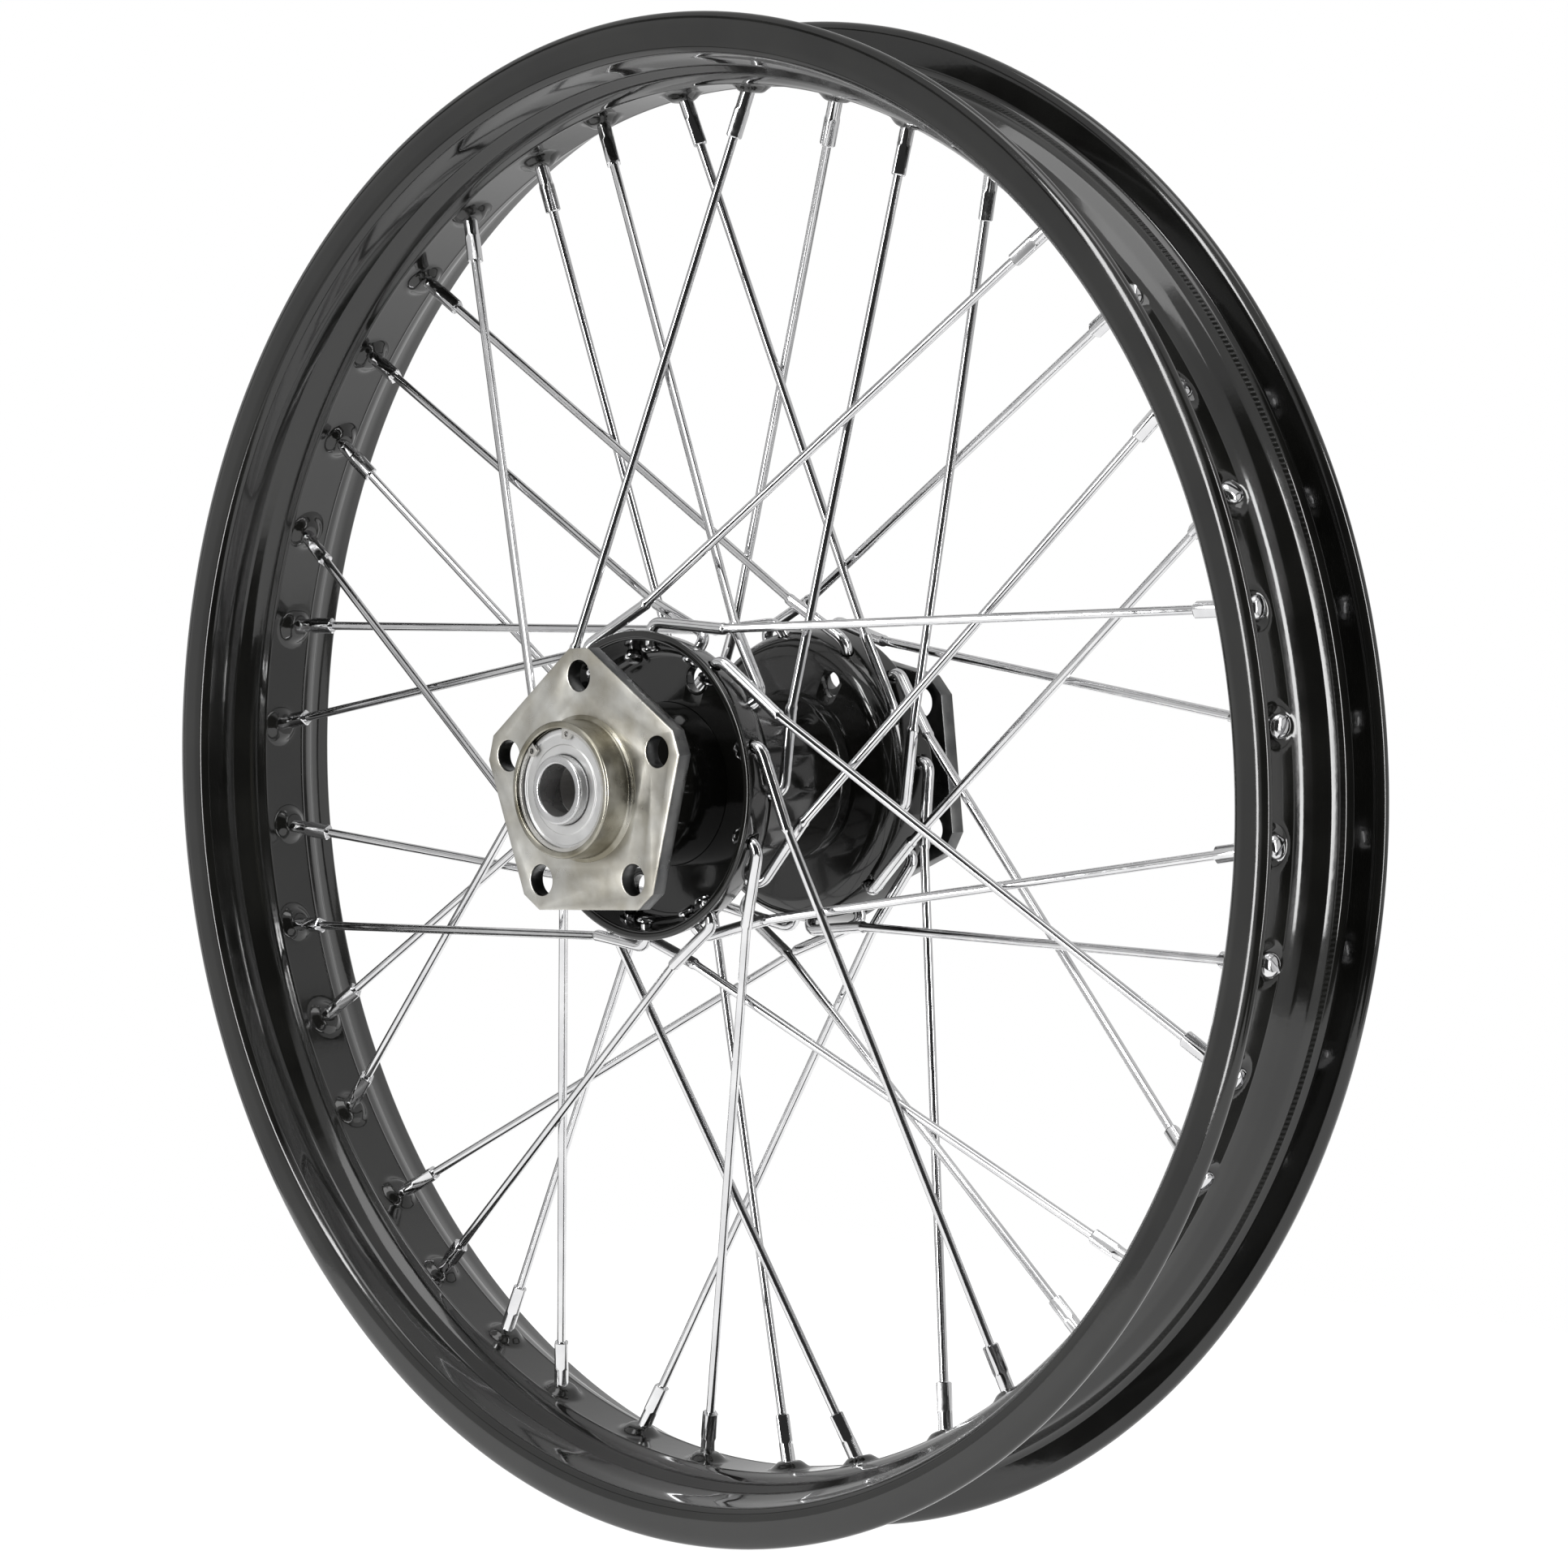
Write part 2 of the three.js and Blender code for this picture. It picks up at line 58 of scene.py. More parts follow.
RIM_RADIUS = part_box("rim")[1].x / MM
RIM_HALF_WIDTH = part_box("rim")[1].y / MM
FLANGE_LIP_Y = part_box("right_spoke_flange")[1].y / MM
FLANGE_WALL_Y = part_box("right_spoke_flange")[0].y / MM
FLANGE_LIP_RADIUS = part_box("right_spoke_flange")[1].x / MM
SLEEVE_INNER_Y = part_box("right_disc_flange")[0].y / MM
SLEEVE_OUTER_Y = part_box("right_disc_flange")[1].y / MM
BARREL_END_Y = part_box("hub_barrel")[1].y / MM
COLLAR_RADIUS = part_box("right_axle_collar")[1].x / MM
COLLAR_INNER_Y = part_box("right_axle_collar")[0].y / MM
COLLAR_END_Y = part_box("right_axle_collar")[1].y / MM - 0.01     # keeps inside the CAD box
SEAL_OUTER_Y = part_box("right_grease_seal")[1].y / MM
RING_OUTER_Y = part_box("right_snap_ring")[1].y / MM
FLOOR_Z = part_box("rim")[0].z

# ---- driving dimensions, in millimetres and degrees --------------------------------------

SPOKES_PER_SET = 10
PITCH = 360 / SPOKES_PER_SET
PIVOT_RADIUS = 262.0               # where a nipple crosses the rim
RIM_HOLE_OFFSET = 1.8              # the rim holes stand this far off the centre plane
THICK_RADIUS = 2.2                 # the spoke's two thicknesses, on each side of the swage
THIN_RADIUS = 1.7
ELBOW_REACH = 5.2                  # how far from its corner the elbow's bend starts
NIPPLE_OVERLAP = 14                # the wire ends this far short of the rim, in the nipple
DIMPLE_RADIUS = 8.6
DIMPLE_TOP_RADIUS = 3.6
DIMPLE_HEIGHT = 3.0
BOLTS = 5
BOLT_PITCH = 72
BOLT_CIRCLE_RADIUS = 41.275
BOLT_HOLE_RADIUS = 5.8
PLATE_FACE_Y = 77.5
PLATE_THICKNESS = 6.5
PLATE_BORE_RADIUS = 24.6
PLATE_CORNER_RADIUS = 51.6
PLATE_CORNER_HALF_ANGLE = 5.4
TUBE_RADIUS = 30.4                 # the hub tube's end, where the bell is pressed on
TUBE_BORE_RADIUS = 26.4
BELL_THICKNESS = 3.5
SLEEVE_RADIUS = 26.1
SLEEVE_BORE_RADIUS = 19.5
CUP_BORE_RADIUS = 22.62
GROOVE_RADIUS = 23.8
SEAL_BORE_RADIUS = 12.9
SEAL_RADIUS = 22.3
COLLAR_BORE_RADIUS = 9.55
WINDOW_CIRCLE_RADIUS = 42.0
WINDOW_RADIUS = 4.9
SPOKE_HOLE_RADIUS = 2.75
RING_FIRST_EYE = 138.9             # the snap ring runs from one eye to the other
RING_LAST_EYE = 442.3
RING_RADIUS = 23.3
RING_BAND = 2.0
RING_THICKNESS = 1.2
LUG_DEPTH = 4.6
LUG_SPAN = 13
LUG_ROUND = 3.0
EYE_RADIUS = 1.05
EYE_INSET = 2.0
KNURL_TEETH = 840                  # round each bead seat
KNURL_Y = 24.9
KNURL_HALF_WIDTH = 1.2
KNURL_INNER_RADIUS = 269.5
LATHE_MARKS = 2600                 # scale of the turned steel's rings

# "hole" is (radius, y) and "tilt" the way the shank leans as it leaves it. "elbow" is how far
# out its corner is. "swage" is (radius, angle, y), with the flange hole at angle 0.
FRONT_ROW = {
    "hole": (57.0, 44.0), "tilt": 0, "elbow": 3.4,
    "swage": (67.2, -28.4, 38.2), "rim_angle": -73.3,
}
BACK_ROW = {
    "hole": (54.4, 35.2), "tilt": 28, "elbow": 5.0,
    "swage": (67.5, 27.9, 30.2), "rim_angle": 70.7,
}
# Row, side and the angle of the first flange hole, in the order of the CAD's spoke numbers.
SPOKE_SETS = (
    (FRONT_ROW, -1, 16.6),
    (BACK_ROW, -1, -1.4),
    (FRONT_ROW, 1, 7.6),
    (BACK_ROW, 1, 25.6),
)
BOLT_PHASE = {"left": 21.1, "right": 42.5}
WINDOW_ANGLE = {"left": 69.5, "right": 58.3}


# ---- shape helpers -----------------------------------------------------------------------

def polar(radius, degrees, y):
    """A point in metres at a radius and angle round the axle, from millimetres."""
    angle = math.radians(degrees)
    return Vector((radius * math.cos(angle), y, radius * math.sin(angle))) * MM


def round_corners(outline, steps=4):
    """A closed outline of (radius, y, rounding) as (radius, y) points with its corners rounded."""
    points = []
    count = len(outline)
    for i, (radius, y, rounding) in enumerate(outline):
        corner = Vector((radius, y))
        before = Vector(outline[i - 1][:2]) - corner
        after = Vector(outline[(i + 1) % count][:2]) - corner
        if rounding == 0:
            points.append(corner)
            continue
        reach = min(rounding, 0.48 * before.length, 0.48 * after.length)
        start = corner + before.normalized() * reach
        end = corner + after.normalized() * reach
        for step in range(steps + 1):
            t = step / steps
            points.append(start * (1 - t) ** 2 + corner * 2 * t * (1 - t) + end * t ** 2)
    return [(p.x, p.y) for p in points]


def new_object(name, mesh, material):
    piece = bpy.data.objects.new(name, mesh)
    bpy.context.scene.collection.objects.link(piece)
    if material:
        mesh.materials.append(material)
    return piece


def smooth(mesh, sharp_angle=35):
    """Smooth shading that keeps edges sharper than the angle."""
    mesh.polygons.foreach_set("use_smooth", [True] * len(mesh.polygons))
    mesh.set_sharp_from_angle(angle=math.radians(sharp_angle))


def ring_mesh(name, rings, closed_rings=True, caps=False):
    """A mesh lofted through rings of points; closed_rings joins the last ring to the first."""
    mesh = bpy.data.meshes.new(name)
    bm = bmesh.new()
    rows = [[bm.verts.new(point) for point in ring] for ring in rings]
    pairs = list(zip(rows, rows[1:]))
    if closed_rings:
        pairs.append((rows[-1], rows[0]))
    for row, following in pairs:
        size = len(row)
        for i in range(size):
            j = (i + 1) % size
            bm.faces.new((row[i], row[j], following[j], following[i]))
    if caps:
        bm.faces.new(rows[0])
        bm.faces.new(list(reversed(rows[-1])))
    bmesh.ops.recalc_face_normals(bm, faces=bm.faces)
    bm.to_mesh(mesh)
    bm.free()
    return mesh


def revolve(name, outline, segments=128):
    """A closed (radius, y) outline in millimetres turned about the axle."""
    rings = [
        [polar(radius, 360 * k / segments, y) for radius, y in outline]
        for k in range(segments)
    ]
    return ring_mesh(name, rings)


def on_side(outline, side):
    return [(radius, side * y, *rest) for radius, y, *rest in outline]


def both_sides(half):
    """Half an outline and its mirror image, joined across the centre plane."""
    return on_side(half, 1) + list(reversed(on_side(half, -1)))


def tube(points, radii, sides=16):
    """Rings of points along a path, each ring square to the path."""
    rings = []
    tangent = (points[1] - points[0]).normalized()
    across = tangent.orthogonal().normalized()
    for i, point in enumerate(points):
        ahead = points[min(i + 1, len(points) - 1)] - points[max(i - 1, 0)]
        turned = ahead.normalized()
        across = tangent.rotation_difference(turned) @ across
        tangent = turned
        other = tangent.cross(across)
        rings.append([
            point + (across * math.cos(a) + other * math.sin(a)) * radii[i]
            for a in (2 * math.pi * k / sides for k in range(sides))
        ])
    return rings


def cylinder(start, end, radius, sides=24):
    return tube([start, end], [radius, radius], sides)


def cut(piece, cutters, bevel=0.0):
    """Cuts closed lofts out of a piece and softens the new edges."""
    mesh = bpy.data.meshes.new("cutter")
    bm = bmesh.new()
    for rings in cutters:
        part = ring_mesh("cutter_part", rings, closed_rings=False, caps=True)
        bm.from_mesh(part)
        bpy.data.meshes.remove(part)
    bm.to_mesh(mesh)
    bm.free()
    tool = new_object("cutter", mesh, None)
    modifier = piece.modifiers.new("holes", "BOOLEAN")
    modifier.operation = "DIFFERENCE"
    modifier.solver = "EXACT"
    modifier.object = tool
    if bevel:
        edge = piece.modifiers.new("edges", "BEVEL")
        edge.width = bevel * MM
        edge.segments = 2
        edge.limit_method = "ANGLE"
        edge.angle_limit = math.radians(50)
    graph = bpy.context.evaluated_depsgraph_get()
    result = bpy.data.meshes.new_from_object(piece.evaluated_get(graph))
    piece.modifiers.clear()
    piece.data = result
    bpy.data.objects.remove(tool)
    bpy.data.meshes.remove(mesh)


# ---- material helpers --------------------------------------------------------------------

def new_material(name, color, roughness, metallic):
    material = bpy.data.materials.new(name)
    material.use_nodes = True
    shader = material.node_tree.nodes["Principled BSDF"]
    shader.inputs["Base Color"].default_value = (*color, 1)
    shader.inputs["Roughness"].default_value = roughness
    shader.inputs["Metallic"].default_value = metallic
    return material, material.node_tree, shader


def add(tree, kind, **values):
    node = tree.nodes.new(kind)
    for key, value in values.items():
        if key in node.inputs:
            node.inputs[key].default_value = value
        else:
            setattr(node, key, value)
    return node


def noise(tree, scale, detail=3.0):
    """Noise in the piece's own coordinates, in metres."""
    place = add(tree, "ShaderNodeTexCoord")
    texture = add(tree, "ShaderNodeTexNoise", Scale=scale, Detail=detail)
    tree.links.new(place.outputs["Object"], texture.inputs["Vector"])
    return texture.outputs["Fac"]


def spread(tree, source, low, high, from_low=0.3, from_high=0.7):
    """Maps a noise value onto a range of numbers."""
    node = add(tree, "ShaderNodeMapRange")
    limits = {"From Min": from_low, "From Max": from_high, "To Min": low, "To Max": high}
    for key, value in limits.items():
        node.inputs[key].default_value = value
    tree.links.new(source, node.inputs["Value"])
    return node.outputs["Result"]


def tint(tree, source, first, second, from_low=0.35, from_high=0.65):
    """A colour that runs from the first to the second with a noise value."""
    ramp = add(tree, "ShaderNodeValToRGB")
    ramp.color_ramp.elements[0].position = from_low
    ramp.color_ramp.elements[0].color = (*first, 1)
    ramp.color_ramp.elements[1].position = from_high
    ramp.color_ramp.elements[1].color = (*second, 1)
    tree.links.new(source, ramp.inputs["Fac"])
    return ramp.outputs["Color"]


def add_bump(tree, shader, source, strength, distance):
    bump = add(tree, "ShaderNodeBump", Strength=strength, Distance=distance)
    tree.links.new(source, bump.inputs["Height"])
    tree.links.new(bump.outputs["Normal"], shader.inputs["Normal"])


def axle_distance(tree):
    """A point's own X, Y and Z, and its distance from the axle, in metres."""
    place = add(tree, "ShaderNodeTexCoord")
    split = add(tree, "ShaderNodeSeparateXYZ")
    tree.links.new(place.outputs["Object"], split.inputs["Vector"])
    flat = add(tree, "ShaderNodeCombineXYZ")
    tree.links.new(split.outputs["X"], flat.inputs["X"])
    tree.links.new(split.outputs["Z"], flat.inputs["Z"])
    length = add(tree, "ShaderNodeVectorMath", operation="LENGTH")
    tree.links.new(flat.outputs["Vector"], length.inputs[0])
    return split, length.outputs["Value"]


def calculate(tree, operation, *sources):
    """A Math node whose inputs are linked from sockets or set to numbers."""
    node = add(tree, "ShaderNodeMath", operation=operation)
    for i, source in enumerate(sources):
        if isinstance(source, (int, float)):
            node.inputs[i].default_value = source
        else:
            tree.links.new(source, node.inputs[i])
    return node.outputs["Value"]


def turning_rings(tree, rings_per_metre):
    """Fine lathe marks: noise that varies only with the place along and out from the axle."""
    split, distance = axle_distance(tree)
    total = calculate(tree, "ADD", distance, split.outputs["Y"])
    line = add(tree, "ShaderNodeCombineXYZ")
    tree.links.new(total, line.inputs["X"])
    marks = add(tree, "ShaderNodeTexNoise", Scale=rings_per_metre, Detail=2.0)
    tree.links.new(line.outputs["Vector"], marks.inputs["Vector"])
    return marks.outputs["Fac"]


def knurl_height(tree):
    """Small teeth round the axle, in a narrow band on each bead seat's tyre side."""
    split, distance = axle_distance(tree)
    angle = calculate(tree, "ARCTAN2", split.outputs["Z"], split.outputs["X"])
    wave = calculate(tree, "SINE", calculate(tree, "MULTIPLY", angle, KNURL_TEETH))
    away = calculate(tree, "ABSOLUTE", split.outputs["Y"])
    inside = calculate(tree, "COMPARE", away, KNURL_Y * MM, KNURL_HALF_WIDTH * MM)
    tyre_side = calculate(tree, "GREATER_THAN", distance, KNURL_INNER_RADIUS * MM)
    on_seat = calculate(tree, "MULTIPLY", inside, tyre_side)
    return calculate(tree, "MULTIPLY", wave, on_seat)


def add_knurl(material):
    """Adds the bead seats' knurling to a painted material's own bump."""
    tree = material.node_tree
    shader = tree.nodes["Principled BSDF"]
    peel = shader.inputs["Normal"].links[0].from_node
    teeth = add(tree, "ShaderNodeBump", Strength=0.6, Distance=0.0003)
    tree.links.new(knurl_height(tree), teeth.inputs["Height"])
    tree.links.new(peel.outputs["Normal"], teeth.inputs["Normal"])
    tree.links.new(teeth.outputs["Normal"], shader.inputs["Normal"])
    return material


def paint_material(name):
    """Gloss black paint with a little orange peel and faint haze."""
    material, tree, shader = new_material(name, (0.006, 0.006, 0.0055), 0.1, 0.0)
    shader.inputs["Coat Weight"].default_value = 0.35
    shader.inputs["Coat Roughness"].default_value = 0.04
    haze = noise(tree, 35)
    tree.links.new(spread(tree, haze, 0.07, 0.16), shader.inputs["Roughness"])
    tree.links.new(tint(tree, haze, (0.005, 0.005, 0.0045), (0.009, 0.009, 0.008)),
                   shader.inputs["Base Color"])
    add_bump(tree, shader, noise(tree, 260, 2.0), 0.06, 0.0004)
    return material


def chrome_material():
    """Polished plate over drawn wire: bright, with faint marks."""
    material, tree, shader = new_material("chrome", (0.72, 0.72, 0.73), 0.08, 1.0)
    marks = noise(tree, 420, 4.0)
    tree.links.new(spread(tree, marks, 0.06, 0.14), shader.inputs["Roughness"])
    tree.links.new(tint(tree, noise(tree, 60), (0.64, 0.64, 0.65), (0.77, 0.77, 0.775)),
                   shader.inputs["Base Color"])
    add_bump(tree, shader, marks, 0.012, 0.0001)
    return material


def machined_material(name, dark, light, rough, metallic=1.0):
    """Bare turned steel: stained in soft patches, with fine rings."""
    material, tree, shader = new_material(name, light, rough[0], metallic)
    tree.links.new(tint(tree, noise(tree, 55, 5.0), dark, light), shader.inputs["Base Color"])
    tree.links.new(spread(tree, noise(tree, 140, 4.0), *rough), shader.inputs["Roughness"])
    add_bump(tree, shader, turning_rings(tree, LATHE_MARKS), 0.16, 0.0002)
    return material


paint = paint_material("gloss_black")
rim_paint = add_knurl(paint_material("rim_black"))
chrome = chrome_material()
face_steel = machined_material(
    "face_steel", (0.42, 0.4, 0.345), (0.64, 0.635, 0.6), (0.26, 0.42))
boss_steel = machined_material(
    "boss_steel", (0.2, 0.185, 0.14), (0.47, 0.455, 0.4), (0.22, 0.38))
edge_steel = machined_material(
    "edge_steel", (0.09, 0.092, 0.094), (0.2, 0.2, 0.195), (0.25, 0.45))
seal_steel = machined_material(
    "seal_steel", (0.55, 0.55, 0.545), (0.68, 0.68, 0.675), (0.3, 0.44), 0.85)
collar_steel = machined_material(
    "collar_steel", (0.48, 0.48, 0.485), (0.62, 0.62, 0.62), (0.22, 0.34), 0.9)
ring_steel = machined_material(
    "ring_steel", (0.5, 0.49, 0.46), (0.68, 0.67, 0.64), (0.22, 0.36))
bearing_steel = machined_material(
    "bearing_steel", (0.4, 0.39, 0.38), (0.55, 0.54, 0.53), (0.3, 0.4), 0.5)


def finish_piece(piece, body, slot, *nodes):
    """Hides the CAD nodes that a piece stands for and attaches it to the body it moves with; slot,
    its finish, is not used.
    """
    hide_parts(*nodes)
    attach(piece, body)


# ---- rim ---------------------------------------------------------------------------------

# Half of the rim's section, from the well floor's hub side, round the folded lip, to the
# floor's tyre side.
RIM_HALF_SECTION = [
    (259.3, 9.1, 0.3),
    (259.05, 9.6, 0.25),
    (259.45, 10.2, 0.3),
    (260.4, 13.4, 1.2),
    (262.4, 17.2, 1.2),
    (265.8, 20.4, 0.8),
    (267.7, 25.3, 2.0),
    (269.2, 32.2, 1.0),
    (271.4, 34.0, 0.7),
    (274.2, RIM_HALF_WIDTH, 0.9),
    (281.0, RIM_HALF_WIDTH, 2.2),
    (RIM_RADIUS, 33.2, 2.2),
    (RIM_RADIUS, 30.2, 2.2),
    (281.8, 28.7, 1.6),
    (272.4, 28.0, 1.2),
    (270.9, 26.4, 0.6),
    (270.3, 23.4, 0.7),
    (269.0, 20.0, 0.9),
    (265.1, 16.2, 0.9),
    (262.9, 12.2, 1.0),
    (261.8, 9.2, 0.5),
]
FLOOR_EDGE = 13.5
FLOOR_STEP = 1.0                   # spacing of the points along the well floor
NEAR_HOLE = 2.16                   # degrees on each side of a hole with close rings
NEAR_RINGS = 18
FAR_RINGS = 4


def dense_floor(points):
    """Adds points along the well floor, where the dimples are pressed."""
    dense = []
    for i, (radius, y) in enumerate(points):
        dense.append((radius, y))
        next_radius, next_y = points[(i + 1) % len(points)]
        if max(abs(y), abs(next_y)) < FLOOR_EDGE:
            steps = max(1, round(math.hypot(next_radius - radius, next_y - y) / FLOOR_STEP))
            for k in range(1, steps):
                t = k / steps
                dense.append((radius + (next_radius - radius) * t, y + (next_y - y) * t))
    return dense


def rim_hole_angles():
    """The rim holes' angles with the side that each one leans to."""
    holes = []
    for row, side, phase in SPOKE_SETS:
        for i in range(SPOKES_PER_SET):
            holes.append(((phase + row["rim_angle"] + PITCH * i) % 360, side))
    return sorted(holes)


def ring_angles(holes):
    """Angles of the rim's rings, close together at each hole."""
    angles = []
    near = NEAR_HOLE
    step = 360 / len(holes)
    for angle, _ in holes:
        angles += [angle - near + 2 * near * k / NEAR_RINGS for k in range(NEAR_RINGS)]
        angles += [angle + near + (step - 2 * near) * k / FAR_RINGS for k in range(FAR_RINGS)]
    return angles


def dimple(distance):
    """Height of a pressed dimple, flat on top and smooth at its foot."""
    t = (DIMPLE_RADIUS - distance) / (DIMPLE_RADIUS - DIMPLE_TOP_RADIUS)
    t = min(max(t, 0.0), 1.0)
    return DIMPLE_HEIGHT * t * t * (3 - 2 * t)


def build_rim():
    section = dense_floor(round_corners(both_sides(RIM_HALF_SECTION)))
    holes = rim_hole_angles()
    rings = []
    for angle in ring_angles(holes):
        nearest, side = min(holes, key=lambda hole: abs((hole[0] - angle + 180) % 360 - 180))
        along = math.radians((nearest - angle + 180) % 360 - 180) * PIVOT_RADIUS
        ring = []
        for radius, y in section:
            if abs(y) < FLOOR_EDGE and radius < PIVOT_RADIUS + 2:
                radius -= dimple(math.hypot(along, y - side * RIM_HOLE_OFFSET))
            ring.append(polar(radius, angle, y))
        rings.append(ring)
    mesh = ring_mesh("rim_shell", rings)
    smooth(mesh, 60)
    piece = new_object("rim_shell", mesh, rim_paint)
    finish_piece(piece, WHEEL, "rim_paint", "rim")


# ---- spokes and nipples ------------------------------------------------------------------

def spoke_line(row, side):
    """The places that set one spoke, with its flange hole at angle 0."""
    radius, y = row["hole"]
    hole = polar(radius, 0, side * y)
    tilt = math.radians(row["tilt"])
    outward = Vector((math.cos(tilt), -side * math.sin(tilt), 0))
    swage_radius, swage_angle, swage_y = row["swage"]
    swage = polar(swage_radius, swage_angle, side * swage_y)
    pivot = polar(PIVOT_RADIUS, row["rim_angle"], side * RIM_HOLE_OFFSET)
    return hole, outward, swage, pivot


def spoke_mesh(name, row, side):
    """Head, shank, elbow and thick run to the swage step, then the thin run into the nipple."""
    hole, outward, swage, pivot = spoke_line(row, side)
    corner = hole + outward * row["elbow"] * MM
    reach = ELBOW_REACH * MM
    start = corner - outward * reach
    end = corner + (swage - corner).normalized() * reach
    head = [
        (-8.1, 0.9), (-8.0, 2.2), (-7.7, 3.1), (-7.0, 3.6), (-6.3, 3.6), (-5.6, 2.6), (-5.3, 2.2),
    ]
    points = [hole + outward * along * MM for along, _ in head]
    radii = [radius * MM for _, radius in head]
    for k in range(9):
        t = k / 8
        points.append(start * (1 - t) ** 2 + corner * 2 * t * (1 - t) + end * t ** 2)
        radii.append(THICK_RADIUS * MM)
    axis = (pivot - swage).normalized()
    thick, thin = THICK_RADIUS * MM, THIN_RADIUS * MM
    for along, radius in ((-1.2, thick), (-0.2, thick * 1.03), (0.4, thick * 0.97), (1.4, thin)):
        points.append(swage + axis * along * MM)
        radii.append(radius)
    points.append(pivot - axis * NIPPLE_OVERLAP * MM)
    radii.append(thin)
    mesh = ring_mesh(name, tube(points, radii), closed_rings=False, caps=True)
    smooth(mesh, 40)
    mesh.materials.append(chrome)
    return mesh


def square_ring(along, half_width, corner_round, sides=32):
    """A ring round the Z axis: a square with rounded corners, or a circle if all rounding."""
    ring = []
    flat = half_width - corner_round
    for k in range(sides):
        angle = 2 * math.pi * (k + 0.5) / sides
        c, s = math.cos(angle), math.sin(angle)
        x = math.copysign(flat, c) + corner_round * c
        y = math.copysign(flat, s) + corner_round * s
        ring.append(Vector((x, y, along)) * MM)
    return ring


def nipple_mesh():
    """A nipple along +Z, its origin where it crosses the rim, its slotted head outboard."""
    profile = [
        (-23.2, 1.8, 1.8), (-23.2, 2.35, 1.6), (-22.8, 2.6, 1.3), (-12.9, 2.6, 1.3),
        (-12.2, 2.7, 2.2), (-11.8, 2.75, 2.75), (-1.0, 2.75, 2.75), (-0.6, 4.1, 4.1),
        (0.5, 4.6, 4.6), (1.6, 4.5, 4.5), (2.6, 3.8, 3.8), (3.2, 2.5, 2.5), (3.4, 0.8, 0.8),
    ]
    rings = [square_ring(*row) for row in profile]
    piece = new_object("nipple_form", ring_mesh("nipple", rings, False, True), None)
    across = 5.5 * MM
    half_slot = 0.55 * MM
    slot = [
        [Vector((x, y, z * MM)) for x, y in (
            (-across, -half_slot), (across, -half_slot), (across, half_slot), (-across, half_slot))]
        for z in (2.0, 4.6)
    ]
    cut(piece, [slot])
    mesh = piece.data
    bpy.data.objects.remove(piece)
    smooth(mesh, 32)
    mesh.materials.clear()
    mesh.materials.append(chrome)
    return mesh


def build_spokes():
    nipple = nipple_mesh()
    number = 0
    for index, (row, side, phase) in enumerate(SPOKE_SETS):
        mesh = spoke_mesh(f"spoke_form_{index + 1}", row, side)
        _, _, swage, pivot = spoke_line(row, side)
        axis = (pivot - swage).normalized()
        aim = axis.to_track_quat("Z", "Y").to_matrix().to_4x4()
        for i in range(SPOKES_PER_SET):
            number += 1
            node = f"spoke_{number:02d}"
            turn = Matrix.Rotation(-math.radians(phase + PITCH * i), 4, "Y")
            wire = new_object(f"wire_{number:02d}", mesh, None)
            wire.matrix_world = turn
            finish_piece(wire, WHEEL, "spoke_chrome", node)
            sleeve = new_object(f"nipple_{number:02d}", nipple, None)
            sleeve.matrix_world = turn @ Matrix.Translation(pivot) @ aim
            finish_piece(sleeve, WHEEL, "spoke_chrome", node)


# ---- hub ---------------------------------------------------------------------------------

def build_barrel():
    """The hub tube, thicker between the two bells."""
    half = [
        (31.0, 26.5, 1.5),
        (33.2, FLANGE_WALL_Y - 0.1, 0.3),
        (TUBE_RADIUS, FLANGE_WALL_Y - 0.05, 0),
        (TUBE_RADIUS, BARREL_END_Y, 0.4),
        (TUBE_BORE_RADIUS, BARREL_END_Y, 0.4),
    ]
    mesh = revolve("hub_tube", round_corners(both_sides(half)))
    smooth(mesh, 50)
    piece = new_object("hub_tube", mesh, paint)
    finish_piece(piece, WHEEL, "hub_paint", "hub_barrel")


def build_spoke_flange(label, side):
    """The pressed bell with its spoke holes and two wall holes."""
    wall = FLANGE_WALL_Y
    outline = round_corners([
        (TUBE_RADIUS, wall, 0.3),
        (48.2, wall, 3.0),
        (52.6, wall + 2.2, 3.0),
        (55.2, wall + 7.0, 3.0),
        (FLANGE_LIP_RADIUS, FLANGE_LIP_Y, 1.7),
        (FLANGE_LIP_RADIUS - 3.6, FLANGE_LIP_Y, 1.7),
        (51.6, wall + 8.0, 3.0),
        (48.4, wall + BELL_THICKNESS, 3.0),
        (TUBE_RADIUS, wall + BELL_THICKNESS, 0.3),
    ], 6)
    mesh = revolve(f"{label}_bell", on_side(outline, side), 160)
    piece = new_object(f"{label}_bell", mesh, paint)
    cutters = []
    for row, row_side, phase in SPOKE_SETS:
        if row_side != side:
            continue
        hole, outward, _, _ = spoke_line(row, side)
        for i in range(SPOKES_PER_SET):
            turn = Matrix.Rotation(-math.radians(phase + PITCH * i), 3, "Y")
            ends = [turn @ (hole + outward * along * MM) for along in (-6, 6)]
            cutters.append(cylinder(*ends, SPOKE_HOLE_RADIUS * MM))
    for angle in (WINDOW_ANGLE[label], WINDOW_ANGLE[label] + 180):
        ends = [polar(WINDOW_CIRCLE_RADIUS, angle, side * (wall + along)) for along in (-2, 6)]
        cutters.append(cylinder(*ends, WINDOW_RADIUS * MM, 32))
    cut(piece, cutters, 0.5)
    smooth(piece.data, 40)
    finish_piece(piece, WHEEL, "hub_paint", f"{label}_spoke_flange")


